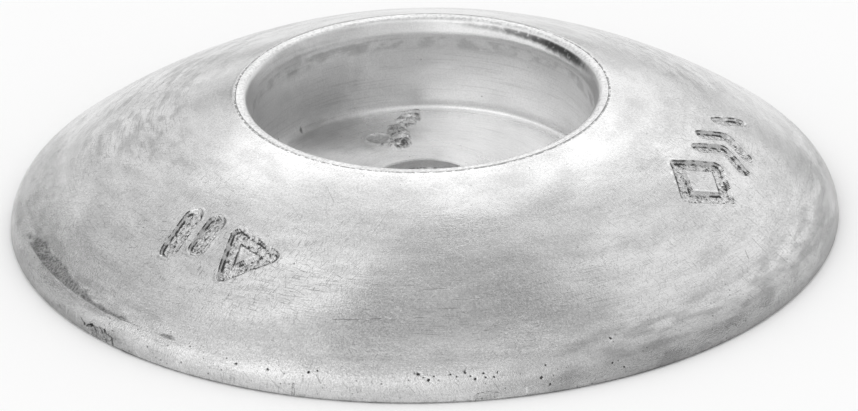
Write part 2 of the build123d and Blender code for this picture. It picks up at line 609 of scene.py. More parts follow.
SPLASH = (
    # a run of spilt zinc on the floor: start, end, half width, height
    ((-1.2, 17.0), (-1.9, 14.9), 1.15, 0.24), ((-1.9, 14.9), (-2.5, 12.0), 0.8, 0.26),
    ((-3.2, 13.6), (-3.3, 12.4), 0.7, 0.2), ((-2.5, 12.0), (-2.4, 9.6), 1.1, 0.34),
    ((-2.6, 9.6), (-3.1, 8.7), 0.8, 0.4), ((-3.4, 9.6), (-4.2, 9.2), 0.5, 0.2),
)
DIMPLE_RADIUS = 1.35 * MM
DIMPLE = Vector((-4.9, 10.8)) * MM


class Splash:
    """A frozen run of spilt zinc, beside a punched dimple with a raised rim."""

    BORDER_WAVE = 0.5 * MM
    BORDER_WAVE_LENGTH = 1.1 * MM
    GRIT_SIZE = 0.9 * MM
    RIM_HEIGHT = 0.12 * MM
    DISH_DEPTH = 0.22 * MM

    def __init__(self, cup_floor):
        self.centre = Vector((-3.6 * MM, 12.0 * MM, cup_floor))
        self.reach = 7.0 * MM

    def rise(self, point):
        """Height above the floor of the cup at a point, and how tarnished it is there."""
        flat = wavy(point.xy, point, self.BORDER_WAVE, self.BORDER_WAVE_LENGTH, (5, 2, 8))
        height = 0.0
        nearest = inf
        for start, end, half_width, top in SPLASH:
            distance = segment_distance(flat, Vector(start) * MM, Vector(end) * MM) / (half_width * MM)
            nearest = min(nearest, distance)
            if distance < 1:
                height = max(height, top * MM * sqrt(1 - distance**2))
        grit = noise.fractal(point / self.GRIT_SIZE, 0.6, 2.0, 4)
        height *= 1 + 0.7 * grit
        from_dimple = (point.xy.lerp(flat, 0.4) - DIMPLE).length / DIMPLE_RADIUS
        rim = tent(from_dimple, 1, 0.22)
        dish = min(0.0, from_dimple - 0.9)
        inside = clamped((0.95 - from_dimple) / 0.2)
        tarnish = clamped((1.15 - nearest) / 0.3) * clamped(0.5 + 1.6 * grit)
        height = max(height, self.RIM_HEIGHT * rim * (2 - rim)) + self.DISH_DEPTH * dish
        return height, max(0.5 * inside, tarnish)


def cup_mesh(casting, cup):
    bm = turned(cup_section(casting, cup), cup.segments)
    floor = casting.rim_height - cup.well_depth
    splash = Splash(floor)
    refined(bm, [splash], cuts=4)
    dirt = bm.verts.layers.float.new("dirt")
    for vertex in bm.verts:
        if abs(vertex.co.z - floor) < 0.01 * MM and (vertex.co - splash.centre).length < splash.reach:
            rise, vertex[dirt] = splash.rise(vertex.co)
            vertex.co.z += rise
    bmesh.ops.recalc_face_normals(bm, faces=bm.faces)
    return bm


# ---------------------------------------------------------------- shader nodes

def put(tree, kind, feeds=None, **settings):
    """Adds a node, sets it and feeds its inputs with sockets or plain values."""
    node = tree.nodes.new(kind)
    for name, value in settings.items():
        setattr(node, name, value)
    for name, value in (feeds or {}).items():
        if isinstance(value, bpy.types.NodeSocket):
            tree.links.new(value, node.inputs[name])
        else:
            node.inputs[name].default_value = value
    return node


def sums(tree, operation, *values, clamp=False):
    """Output of one Math node."""
    node = put(tree, "ShaderNodeMath", dict(enumerate(values)), operation=operation, use_clamp=clamp)
    return node.outputs[0]


def times(tree, *masks):
    product = masks[0]
    for mask in masks[1:]:
        product = sums(tree, "MULTIPLY", product, mask)
    return product


def weighted(tree, terms, start=0.0):
    """start plus each value times its weight."""
    total = start
    for value, weight in terms:
        total = sums(tree, "MULTIPLY_ADD", value, weight, total)
    return total


def ramp(tree, value, low, high, out_low=0.0, out_high=1.0):
    """A smooth step of value from low to high."""
    feeds = {"Value": value, "From Min": low, "From Max": high, "To Min": out_low, "To Max": out_high}
    return put(tree, "ShaderNodeMapRange", feeds, interpolation_type="SMOOTHSTEP").outputs["Result"]


def blend(tree, factor, a, b):
    """A mix of two colours, either of them a socket or three numbers."""
    a, b = ((*c, 1.0) if not isinstance(c, bpy.types.NodeSocket) else c for c in (a, b))
    return put(tree, "ShaderNodeMix", {0: factor, 6: a, 7: b}, data_type="RGBA").outputs[2]


def vectors(tree, operation, *values, scale=None):
    """Output of one Vector Math node."""
    feeds = dict(enumerate(values))
    if scale is not None:
        feeds["Scale"] = scale
    node = put(tree, "ShaderNodeVectorMath", feeds, operation=operation)
    return node.outputs["Value" if operation in ("LENGTH", "DOT_PRODUCT", "DISTANCE") else "Vector"]


def parts(tree, vector):
    """The three numbers of a vector."""
    return put(tree, "ShaderNodeSeparateXYZ", {0: vector}).outputs


def stretched(tree, vector, across, down=1.0):
    """Vector for a pattern that is longer across where across is below 1, and likewise down."""
    return vectors(tree, "MULTIPLY", vector, Vector((across, across, down)))


def cloudy(tree, vector, scale=1.0, detail=2.0):
    """Plain noise, about 0.5."""
    feeds = {"Vector": vector, "Scale": scale, "Detail": detail}
    return put(tree, "ShaderNodeTexNoise", feeds).outputs[0]


def attribute(tree, name, output="Fac"):
    return put(tree, "ShaderNodeAttribute", attribute_name=name).outputs[output]


def new_group(name, inputs, outputs=None):
    """An empty node group that works on a vector, with its other inputs and what it puts out by name."""
    group = bpy.data.node_groups.new(name, "ShaderNodeTree")
    group.interface.new_socket("Vector", in_out="INPUT", socket_type="NodeSocketVector")
    for socket, default in inputs.items():
        kind = "Vector" if isinstance(default, Vector) else "Float"
        made = group.interface.new_socket(socket, in_out="INPUT", socket_type="NodeSocket" + kind)
        made.default_value = default
    for socket, kind in (outputs or {"Mask": "Float"}).items():
        group.interface.new_socket(socket, in_out="OUTPUT", socket_type="NodeSocket" + kind)
    start = group.nodes.new("NodeGroupInput").outputs
    end = group.nodes.new("NodeGroupOutput").inputs
    return group, start, end


def placed(tree, name, vector, **feeds):
    """Outputs of a node group placed in a tree, which is built if it is the first of its name."""
    if name not in bpy.data.node_groups:
        GROUP_MAKERS[name]()
    feeds = {socket.replace("_", " ").capitalize(): value for socket, value in feeds.items()}
    feeds["Vector"] = vector
    return put(tree, "ShaderNodeGroup", feeds, node_tree=bpy.data.node_groups[name]).outputs


def masked(tree, name, vector, **feeds):
    """Mask of a node group placed in a tree."""
    return placed(tree, name, vector, **feeds)["Mask"]


def round_axis_group():
    """Unrolls a place so that noise can run round the axis: across is measured at one fixed radius."""
    group, start, end = new_group(
        "Round the axis", {"Unrolled at": 33.0}, {"Vector": "Vector", "Radius": "Float"})
    flat = stretched(group, start["Vector"], 1.0, 0.0)
    radius = vectors(group, "LENGTH", flat)
    outwards = vectors(group, "SCALE", vectors(group, "NORMALIZE", flat), scale=start["Unrolled at"])
    down = sums(group, "SUBTRACT", radius, parts(group, start["Vector"])[2])
    lowered = put(group, "ShaderNodeCombineXYZ", {2: down}).outputs[0]
    group.links.new(vectors(group, "ADD", outwards, lowered), end["Vector"])
    group.links.new(radius, end["Radius"])


def noise_border(group, cover):
    """Level that plain noise passes on about this share of the surface."""
    return sums(group, "MULTIPLY_ADD", cover, -0.5, 0.75)


def blotches_group():
    """Clouds with soft borders that cover a share of the surface."""
    group, start, end = new_group(
        "Blotches", {"Size": 4.0, "Cover": 0.5, "Softness": 0.1, "Detail": 3.0})
    cloud = cloudy(group, start["Vector"], sums(group, "DIVIDE", 1.0, start["Size"]), start["Detail"])
    border = noise_border(group, start["Cover"])
    low = sums(group, "SUBTRACT", border, start["Softness"])
    high = sums(group, "ADD", border, start["Softness"])
    group.links.new(ramp(group, cloud, low, high), end["Mask"])


def hairlines_group():
    """Short straight scratches, all in one direction of the flat pattern."""
    group, start, end = new_group(
        "Hairlines", {"Turn": 0.0, "Length": 3.0, "Width": 0.12, "Cover": 0.2})
    turned_flat = put(
        group, "ShaderNodeVectorRotate", {"Vector": start["Vector"], "Angle": start["Turn"]},
        rotation_type="Z_AXIS").outputs[0]
    sizes = put(
        group, "ShaderNodeCombineXYZ", {0: start["Length"], 1: start["Width"], 2: start["Length"]}).outputs[0]
    fine = cloudy(group, vectors(group, "DIVIDE", turned_flat, sizes), 1.0, 1.0)
    border = noise_border(group, start["Cover"])
    group.links.new(ramp(group, fine, border, sums(group, "ADD", border, 0.07)), end["Mask"])


def specks_group():
    """Small round spots, in a share of the cells of a pattern."""
    group, start, end = new_group("Specks", {"Spacing": 1.5, "Size": 0.12, "Cover": 0.3})
    wander = put(group, "ShaderNodeTexNoise", {"Vector": start["Vector"], "Scale": 6.0}).outputs[1]
    bent = vectors(group, "MULTIPLY_ADD", wander, Vector((0.12, 0.12, 0.12)), start["Vector"])
    scale = sums(group, "DIVIDE", 1.0, start["Spacing"])
    cells = put(group, "ShaderNodeTexVoronoi", {"Vector": bent, "Scale": scale})
    lot = parts(group, cells.outputs["Color"])
    size = sums(group, "MULTIPLY", sums(group, "DIVIDE", start["Size"], start["Spacing"]),
                sums(group, "MULTIPLY_ADD", lot[1], 0.8, 0.4))
    spot = ramp(group, cells.outputs["Distance"], size, sums(group, "MULTIPLY", size, 0.5))
    chosen = sums(group, "LESS_THAN", lot[0], start["Cover"])
    group.links.new(sums(group, "MULTIPLY", spot, chosen), end["Mask"])


def stroke_group():
    """One stray scratch from a start to an end."""
    group, start, end = new_group(
        "Stroke", {"Start": Vector((0, 0, 0)), "End": Vector((1, 0, 0)), "Width": 0.15})
    along = vectors(group, "SUBTRACT", start["End"], start["Start"])
    away = vectors(group, "SUBTRACT", start["Vector"], start["Start"])
    share_along = sums(
        group, "DIVIDE", vectors(group, "DOT_PRODUCT", away, along),
        vectors(group, "DOT_PRODUCT", along, along), clamp=True)
    nearest = vectors(group, "SCALE", along, scale=share_along)
    distance = vectors(group, "DISTANCE", away, nearest)
    ragged = cloudy(group, start["Vector"], 2.5)
    width = sums(group, "MULTIPLY", start["Width"], sums(group, "MULTIPLY_ADD", ragged, 1.6, 0.0))
    group.links.new(ramp(group, distance, width, sums(group, "MULTIPLY", width, 0.3)), end["Mask"])


def patch_group():
    """One stain about a centre, with a ragged border. Its size is half of what it covers each way."""
    group, start, end = new_group(
        "Patch", {"Centre": Vector((0, 0, 0)), "Size": Vector((1, 1, 1)), "Softness": 0.5, "Ragged": 0.5,
                  "Rag size": 1.0})
    away = vectors(group, "SUBTRACT", start["Vector"], start["Centre"])
    distance = vectors(group, "LENGTH", vectors(group, "DIVIDE", away, start["Size"]))
    rag_scale = sums(group, "DIVIDE", 1.0, start["Rag size"])
    rag = cloudy(group, vectors(group, "SCALE", start["Vector"], scale=rag_scale), 1.0, 3.0)
    ragged = sums(group, "MULTIPLY_ADD", sums(group, "SUBTRACT", rag, 0.5), start["Ragged"], distance)
    low = sums(group, "SUBTRACT", 1.0, start["Softness"])
    high = sums(group, "ADD", 1.0, start["Softness"])
    group.links.new(ramp(group, ragged, high, low), end["Mask"])


GROUP_MAKERS = {
    "Round the axis": round_axis_group,
    "Blotches": blotches_group,
    "Hairlines": hairlines_group,
    "Specks": specks_group,
    "Stroke": stroke_group,
    "Patch": patch_group,
}


class Layers:
    """Masks laid over each other as they are made, and the relief in millimetres that they leave."""

    def __init__(self, tree):
        self.tree = tree
        self.clear = 1.0
        self.relief = 0.0

    def lay(self, mask, strength, relief=0.0):
        if strength:
            keep = sums(self.tree, "MULTIPLY_ADD", mask, -strength, 1.0)
            self.clear = keep if self.clear == 1.0 else sums(self.tree, "MULTIPLY", self.clear, keep)
        if relief:
            self.relief = sums(self.tree, "MULTIPLY_ADD", mask, relief, self.relief)

    def fade(self, mask, share):
        """Thins all that is laid so far."""
        keep = sums(self.tree, "MULTIPLY_ADD", mask, -share, 1.0)
        laid = sums(self.tree, "MULTIPLY", sums(self.tree, "SUBTRACT", 1.0, self.clear), keep)
        self.clear = sums(self.tree, "SUBTRACT", 1.0, laid)
        self.relief = sums(self.tree, "MULTIPLY", self.relief, keep)

    def cover(self):
        return sums(self.tree, "SUBTRACT", 1.0, self.clear, clamp=True)


def new_metal(name):
    """A metal with its tree, its shader and the place on the piece in millimetres."""
    material = bpy.data.materials.new(name)
    material.use_nodes = True
    tree = material.node_tree
    shader = tree.nodes["Principled BSDF"]
    shader.inputs["Metallic"].default_value = 1.0
    place = put(tree, "ShaderNodeTexCoord").outputs["Object"]
    place = vectors(tree, "SCALE", place, scale=1 / MM)
    return material, tree, shader, place


def finish_metal(tree, shader, tone, roughness, relief):
    """Joins colour, roughness and a relief in millimetres to the shader of a metal."""
    tree.links.new(tone, shader.inputs["Base Color"])
    tree.links.new(sums(tree, "MAXIMUM", roughness, 0.08), shader.inputs["Roughness"])
    bump = put(tree, "ShaderNodeBump", {"Height": relief, "Distance": MM, "Strength": 1.0})
    tree.links.new(bump.outputs[0], shader.inputs["Normal"])


# Radii at which across is measured where a pattern is unrolled, in millimetres
DOME_UNROLLED_AT = 33.0
CUP_UNROLLED_AT = 18.5


def unrolled(azimuth, down, unrolled_at=DOME_UNROLLED_AT):
    """A place as the Round the axis group unrolls it: azimuth in degrees, radius less height."""
    turned_by = radians(azimuth)
    return Vector((unrolled_at * cos(turned_by), unrolled_at * sin(turned_by), down))


# Single scratches of the casting, in millimetres: start and end, each as azimuth in degrees and radius
# less height, and width. The cracks are black, and the nicks and rubs are bright.
ZINC_SCRATCHES = (
    ((-93.9, 10.93), (-98.5, 13.0), 0.06), ((-98.5, 13.0), (-101.2, 17.26), 0.06),
    ((-112.2, 12.03), (-116.0, 9.57), 0.07), ((-113.5, 11.1), (-117.5, 11.9), 0.05),
    ((-104.5, 32.41), (-100.6, 32.08), 0.16), ((-98.8, 31.87), (-97.2, 31.74), 0.16),
    ((-91.0, 30.39), (-84.0, 30.9), 0.09), ((-32.2, 34.69), (-33.0, 35.9), 0.14),
    ((-27.3, 37.94), (-27.2, 41.16), 0.07), ((-105.2, 41.76), (-104.5, 42.82), 0.12),
    ((-28.7, 33.9), (-29.0, 36.73), 0.07), ((-20.6, 36.4), (-21.9, 39.34), 0.06),
    ((-118.0, 17.8), (-114.6, 18.6), 0.07), ((-121.0, 14.4), (-117.4, 16.4), 0.05),
)
ZINC_CRACKS = (
    ((-139.2, 43.65), (-137.9, 43.8), 0.13), ((-137.9, 43.8), (-137.4, 44.9), 0.17),
    ((-144.9, 43.4), (-143.6, 44.0), 0.12), ((-142.2, 43.45), (-141.2, 44.0), 0.14),
    ((-140.6, 43.35), (-139.9, 43.9), 0.12), ((-135.6, 44.75), (-131.9, 44.9), 0.12),
)
ZINC_NICKS = (
    ((-76.8, 43.8), (-76.8, 44.4), 0.14), ((-151.6, 43.4), (-151.2, 44.2), 0.14),
    ((-148.6, 43.1), (-148.3, 44.1), 0.12), ((-146.1, 43.2), (-145.6, 44.2), 0.12),
    ((-126.0, 43.6), (-125.7, 44.15), 0.14), ((-133.1, 44.16), (-132.3, 44.65), 0.1),
    ((-129.0, 43.88), (-128.2, 44.22), 0.1),
)
ZINC_RUBS = (
    ((-11.1, 35.58), (-15.9, 36.74), 0.1), ((-5.2, 37.47), (-16.3, 38.92), 0.1),
    ((-15.5, 35.25), (-23.1, 36.73), 0.1), ((-21.2, 34.38), (-29.2, 35.22), 0.1),
    ((-20.7, 31.74), (-28.8, 33.21), 0.09), ((-26.1, 36.61), (-31.4, 36.78), 0.1),
    ((-17.8, 33.7), (-26.3, 34.9), 0.08), ((-9.8, 38.69), (-14.6, 39.57), 0.09),
)


def strokes_of(tree, around, strokes):
    """The single scratches of a list, as one mask."""
    total = None
    for start, end, width in strokes:
        mask = masked(tree, "Stroke", around, start=unrolled(*start), end=unrolled(*end), width=width)
        total = mask if total is None else sums(tree, "MAXIMUM", total, mask)
    return total


# Where a finish or a painted shade of the casting starts and where it is whole, in millimetres: radius,
# height, or radius less height
CALM_RADIUS = (29.0, 23.0)
SEAM_RADIUS = (20.42, 20.33)
FOOT_HEIGHT = (0.75, 0.2)
UNDER_EDGE_HEIGHT = (2.3, 0.6)
SIDE_DOWN = (35.5, 38.5)
SHOULDER_DOWN = (38.2, 41.0)
STAIN_FOOT_DOWN = (41.1, 40.85)
CREASE_DOWN = (41.2, 42.6)

ZINC_HAIRLINES = (
    # turn in radians, length, width, cover, strength, relief, strength on the scuffed stretch
    (0.6, 1.3, 0.1, 0.22, 0.24, -0.006, 0.4),
    (-0.75, 1.1, 0.09, 0.21, 0.22, -0.006, 0.4),
    (1.65, 1.2, 0.09, 0.18, 0.22, -0.005, 0.0),
)
ZINC_SPECKS = (
    # spacing, size, cover, strength, relief
    (2.3, 0.13, 0.22, 0.7, -0.03),
    (0.8, 0.09, 0.14, 0.5, -0.015),
)


def cast_zinc(finish):
    """Cast zinc: cloudy film, fine scratches, blowholes, dross and stained stretches, with painted shade
    along the lower side, the crease and the foot.
    """
    material, tree, shader, place = new_metal("Cast zinc")
    rolled = placed(tree, "Round the axis", place, unrolled_at=DOME_UNROLLED_AT)
    around, radius = rolled["Vector"], rolled["Radius"]
    down = parts(tree, around)[2]
    height = parts(tree, place)[2]
    drawn = stretched(tree, around, 0.45)

    dark = Layers(tree)
    bright = Layers(tree)

    clouds = masked(tree, "Blotches", drawn, size=3.2, cover=0.5, softness=0.24, detail=4.0)
    broad = masked(tree, "Blotches", place, size=11.0, cover=0.5, softness=0.2, detail=2.0)
    grain = cloudy(tree, place, 4.5, 3.0)
    grit = cloudy(tree, place, 8.0, 2.0)
    for mask, relief in ((clouds, 0.014), (broad, 0.05), (grain, 0.01), (grit, 0.006)):
        dark.lay(mask, 0, relief)
    tone = weighted(tree, [(clouds, 0.7), (broad, 0.35), (grain, 1.8), (grit, 1.6)], -1.65)
    tone = blend(tree, tone, finish.zinc_film, finish.zinc)
    roughness = weighted(tree, [(clouds, -0.04), (grain, 0.12)], finish.zinc_gloss)

    # stains, a far left smudge that is partly painted shade, and the sides that get painted shade
    stained, smudge_and_shade, sides = parts(tree, attribute(tree, "grime_and_shade", "Vector"))
    rubbed, scuffed, weathered = parts(tree, attribute(tree, "wear", "Vector"))
    oxide = masked(tree, "Blotches", drawn, size=1.5, cover=0.42, softness=0.12, detail=5.0)
    dark.lay(times(tree, oxide, weighted(tree, [(weathered, 0.85)], 0.15)), 0.42)

    # scratches
    hair = ramp(tree, cloudy(tree, stretched(tree, around, 0.5, 7.5)), 0.56, 0.70)
    dark.lay(hair, 0.14, -0.003)
    dark.lay(times(tree, hair, sums(tree, "MAXIMUM", rubbed, weathered)), 0.34)
    bend = put(tree, "ShaderNodeTexNoise", {"Vector": place, "Scale": 0.3, "Detail": 2.0}).outputs[1]
    bent = vectors(tree, "MULTIPLY_ADD", bend, Vector((1.1, 1.1, 1.1)), place)
    for turned_by, long, wide, cover, strength, relief, on_scuffed in ZINC_HAIRLINES:
        lines = masked(tree, "Hairlines", bent, turn=turned_by, length=long, width=wide, cover=cover)
        dark.lay(lines, strength, relief)
        if on_scuffed:
            dark.lay(times(tree, lines, scuffed), on_scuffed)
    dark.fade(ramp(tree, radius, *CALM_RADIUS), 0.8)
    fine_lines = masked(tree, "Hairlines", place, turn=1.1, length=5.0, width=0.1, cover=0.2)
    bright.lay(times(tree, fine_lines, broad), 0.3)
    dark.lay(strokes_of(tree, around, ZINC_SCRATCHES), 0.42)
    dark.lay(strokes_of(tree, around, ZINC_CRACKS), 0.85)
    bright.lay(strokes_of(tree, around, ZINC_NICKS), 0.9)
    bright.lay(strokes_of(tree, around, ZINC_RUBS), 0.4)

    # spots
    shiny_dots = masked(tree, "Specks", place, spacing=0.9, size=0.11, cover=0.35)
    bright.lay(times(tree, shiny_dots, smudge_and_shade), 0.75)
    for spacing, size, cover, strength, relief in ZINC_SPECKS:
        dark.lay(masked(tree, "Specks", place, spacing=spacing, size=size, cover=cover), strength, relief)
    shoulder = ramp(tree, down, *SHOULDER_DOWN)
    side_edge = times(tree, sides, ramp(tree, down, *SIDE_DOWN))
    edge_dots = masked(tree, "Specks", place, spacing=0.5, size=0.11, cover=0.45)
    dark.lay(times(tree, edge_dots, sums(tree, "MAXIMUM", shoulder, side_edge)), 0.65, -0.035)
    dark.lay(times(tree, shoulder, grit), 0, 0.045)
    dark.lay(times(tree, shoulder, grain), 0, 0.035)
    # partly oxide mottling, partly painted shade of the lower side
    dark.lay(times(tree, side_edge, oxide), 0.26)

    # stains, and painted shade along the lower side, the crease and the foot
    speckle = ramp(tree, weighted(tree, [(grit, 0.5), (grain, 0.8)]), 0.5, 0.8)
    dabs = cloudy(tree, stretched(tree, around, 1.0, 0.8), 1.0, 5.0)
    stain = ramp(tree, weighted(tree, [(stained, 0.7), (dabs, 1.0)]), 0.78, 1.12)
    stain = times(tree, stain, ramp(tree, down, *STAIN_FOOT_DOWN))
    dark.lay(times(tree, stain, sums(tree, "MULTIPLY_ADD", speckle, 0.7, 0.3)), 0.85, 0.01)
    # the far left edge darker: partly a smudge, partly painted shade
    dark.lay(times(tree, smudge_and_shade, ramp(tree, dabs, 0.3, 0.75)), 0.3)
    dark.lay(times(tree, smudge_and_shade, speckle), 0.24, 0.06)
    dark.lay(times(tree, smudge_and_shade, grain), 0, 0.06)
    # painted shade: darker towards the foot all round and more so on the sides, standing in for the
    # reflection of a shadowed floor
    under_edge = ramp(tree, height, *UNDER_EDGE_HEIGHT)
    dark.lay(under_edge, 0.14)
    dark.lay(times(tree, under_edge, sides), 0.32)
    # painted shade: a speckled dark line along the crease where the dome meets the edge round, on the sides
    ragged_down = weighted(tree, [(grain, 3.4), (clouds, 0.5)], down)
    crease = times(tree, sides, ramp(tree, ragged_down, *CREASE_DOWN))
    dark.lay(times(tree, crease, sums(tree, "MULTIPLY_ADD", speckle, 0.5, 0.5)), 0.14)
    # painted shadow: a patchy dark line along the foot
    foot = ramp(tree, height, *FOOT_HEIGHT)
    dark.lay(times(tree, foot, ramp(tree, cloudy(tree, place, 1.3, 3.0), 0.44, 0.6)), 0.22)
    seam_line = ramp(tree, radius, *SEAM_RADIUS)
    dark.lay(times(tree, seam_line, ramp(tree, cloudy(tree, place, 2.4), 0.36, 0.56)), 0.7)
    dirt = attribute(tree, "dirt")
    dross = ramp(tree, weighted(tree, [(grit, 0.9)], sums(tree, "ADD", dirt, -0.45)), 0.15, 0.6)
    dross = times(tree, dross, ramp(tree, dirt, 0.02, 0.2))
    dark.lay(dross, 0.92)

    roughness = weighted(tree, [
        (shoulder, -0.05), (stain, 0.16), (smudge_and_shade, 0.1), (crease, 0.1), (dross, 0.4), (dirt, 0.15)],
        roughness)
    tone = blend(tree, bright.cover(), tone, finish.zinc_cut)
    tone = blend(tree, dark.cover(), tone, finish.zinc_soot_and_shade)
    finish_metal(tree, shader, tone, roughness, dark.relief)
    return material


# Where a finish or a painted shade of the cup starts and where it is whole, in millimetres
TIDE_TOP_HEIGHT = (13.1, 12.8)
TIDE_FOOT_HEIGHT = (11.2, 12.0)
UNDER_LIP_HEIGHT = (14.8, 14.6)
OVER_WALL_HEIGHT = (11.0, 12.0)
LIP_HEIGHT = (14.6, 14.8)
LIP_RADIUS = (19.1, 19.3)
LIP_SEAM_RADIUS = (20.12, 20.2)
BORE_RADIUS = (5.75, 5.62)
BORE_HEIGHT = (4.35, 4.1)
BEND_RADIUS = (17.4, 17.9)
BEND_HEIGHT = (5.6, 4.9)
FLOOR_HEIGHT = (4.7, 4.45)


def patch(tree, vector, centre, size, softness, ragged, rag_size):
    """Mask of one stain, from plain numbers in millimetres."""
    return masked(
        tree, "Patch", vector, centre=Vector(centre), size=Vector(size), softness=softness, ragged=ragged,
        rag_size=rag_size)


def plated_steel(finish):
    """Pressed and plated steel: satin, drawn round the axis, dulled and sooted by the pour, with painted
    shade on the floor at the back left and in the bolt hole.
    """
    material, tree, shader, place = new_metal("Plated steel")
    rolled = placed(tree, "Round the axis", place, unrolled_at=CUP_UNROLLED_AT)
    around, radius = rolled["Vector"], rolled["Radius"]
    height = parts(tree, place)[2]

    clouds = masked(
        tree, "Blotches", stretched(tree, around, 0.3), size=1.8, cover=0.5, softness=0.2, detail=4.0)
    broad = masked(tree, "Blotches", place, size=7.0, cover=0.5, softness=0.2, detail=2.0)
    grain = cloudy(tree, place, 4.5, 3.0)
    grit = cloudy(tree, place, 9.0, 2.0)
    hair = ramp(tree, cloudy(tree, stretched(tree, around, 0.16, 5.0)), 0.54, 0.7)

    # stains: under the flare all round, and soot on the flare at the back right; painted shade on the floor
    # at the back left and in the bolt hole
    tide_line = times(
        tree, ramp(tree, cloudy(tree, stretched(tree, around, 0.5, 0.8), 1.0, 3.0), 0.42, 0.62),
        ramp(tree, height, *TIDE_FOOT_HEIGHT), ramp(tree, height, *TIDE_TOP_HEIGHT))
    under_lip = times(tree, ramp(tree, height, *UNDER_LIP_HEIGHT), ramp(tree, height, *OVER_WALL_HEIGHT))
    soot_grit = ramp(tree, cloudy(tree, stretched(tree, around, 1.0, 2.4), 1.8, 4.0), 0.1, 0.5)
    soot = patch(tree, around, unrolled(44, 4.5, CUP_UNROLLED_AT), (8.0, 8.0, 0.2), 0.6, 0.8, 0.9)
    soot_core = patch(tree, around, unrolled(35, 4.55, CUP_UNROLLED_AT), (4.6, 4.6, 0.3), 0.45, 0.9, 0.8)
    smears = patch(tree, place, (-11.5, 14.5, 9.0), (5.0, 4.0, 4.5), 0.6, 1.6, 1.6)
    burr_soot = patch(tree, place, (-14.6, 11.6, 13.6), (2.6, 2.6, 1.4), 0.5, 1.6, 0.6)
    # painted shade on the floor of the cup at the back left
    shaded = patch(tree, place, (-8.5, 12.4, 4.2), (7.5, 4.2, 0.6), 0.4, 0.6, 2.0)
    notch = masked(
        tree, "Stroke", place, start=Vector((-13.3, 12.6, 4.3)), end=Vector((-13.6, 12.9, 5.1)), width=0.3)
    dots = masked(tree, "Specks", place, spacing=1.6, size=0.12, cover=0.16)
    lip = times(tree, ramp(tree, height, *LIP_HEIGHT), ramp(tree, radius, *LIP_RADIUS))
    lip_grit = ramp(tree, cloudy(tree, place, 3.0, 3.0), 0.46, 0.62)
    seam_line = ramp(tree, radius, *LIP_SEAM_RADIUS)
    seam_grit = ramp(tree, cloudy(tree, place, 2.4), 0.36, 0.56)
    # painted shade in the bolt hole of the cup
    bore = times(tree, ramp(tree, radius, *BORE_RADIUS), ramp(tree, height, *BORE_HEIGHT))
    dirt = times(
        tree, attribute(tree, "dirt"), ramp(tree, cloudy(tree, place, 3.5, 3.0), 0.35, 0.6, 0.45, 1.0))

    # stretches with a gloss of their own
    bend = times(tree, ramp(tree, radius, *BEND_RADIUS), ramp(tree, height, *BEND_HEIGHT))
    floor = ramp(tree, height, *FLOOR_HEIGHT)
    pale_foot = patch(tree, place, (-12.6, 13.0, 4.7), (7.5, 6.0, 1.3), 0.3, 1.8, 1.1)
    frosted = patch(tree, place, (-4.5, 5.6, 4.3), (8.5, 4.6, 2.0), 0.4, 0.6, 2.0)

    dark = Layers(tree)
    for mask, strength, relief in (
            (grain, 0, 0.02), (clouds, 0, 0.006), (broad, 0, 0.03), (hair, 0.11, -0.003),
            (tide_line, 0.25, 0), (times(tree, soot, soot_grit, under_lip), 0.7, 0),
            (times(tree, soot_core, soot_grit, under_lip), 0.8, 0), (smears, 0.2, 0),
            (burr_soot, 0.16, 0), (notch, 0.6, 0), (dots, 0.4, -0.02),
            (times(tree, lip, lip_grit), 0.2, -0.015), (times(tree, seam_line, seam_grit), 0.4, 0),
            (bore, 0.2, 0), (shaded, 0.28, 0), (dirt, 0.75, 0)):
        dark.lay(mask, strength, relief)
    tone = weighted(tree, [(clouds, 0.4), (broad, 0.4), (grain, 1.6), (grit, 1.4)], -1.4)
    tone = blend(tree, tone, finish.steel_film, finish.steel)
    tone = blend(tree, dark.cover(), tone, finish.steel_soot_and_shade)
    roughness = weighted(
        tree, [(clouds, -0.05), (grain, 0.1), (lip, 0.1), (soot, 0.25), (tide_line, 0.1), (dirt, 0.2),
               (bend, 0.22), (pale_foot, 0.25), (floor, -0.14), (frosted, 0.6)], finish.steel_gloss)
    finish_metal(tree, shader, tone, roughness, dark.relief)
    return material


# ---------------------------------------------------------------- stage

def heading(azimuth, elevation):
    """Unit vector towards a place on the sky, from its angles in degrees."""
    azimuth, elevation = radians(azimuth), radians(elevation)
    return Vector((cos(elevation) * cos(azimuth), cos(elevation) * sin(azimuth), sin(elevation)))


def soft_box(tree, direction, azimuth, elevation, roll, half_width, half_height, softness):
    """Mask of a panel that faces the disc. Its sizes are shares of its distance."""
    facing = heading(azimuth, elevation)
    across = heading(azimuth + 90, 0)
    across.rotate(Quaternion(facing, radians(roll)))
    ahead = sums(tree, "MAXIMUM", vectors(tree, "DOT_PRODUCT", direction, facing), 0.01)
    inside = []
    for axis, half in ((across, half_width), (facing.cross(across), half_height)):
        aside = sums(tree, "DIVIDE", vectors(tree, "DOT_PRODUCT", direction, axis), ahead)
        inside.append(ramp(tree, sums(tree, "ABSOLUTE", aside), half + softness, half - softness))
    return times(tree, *inside)


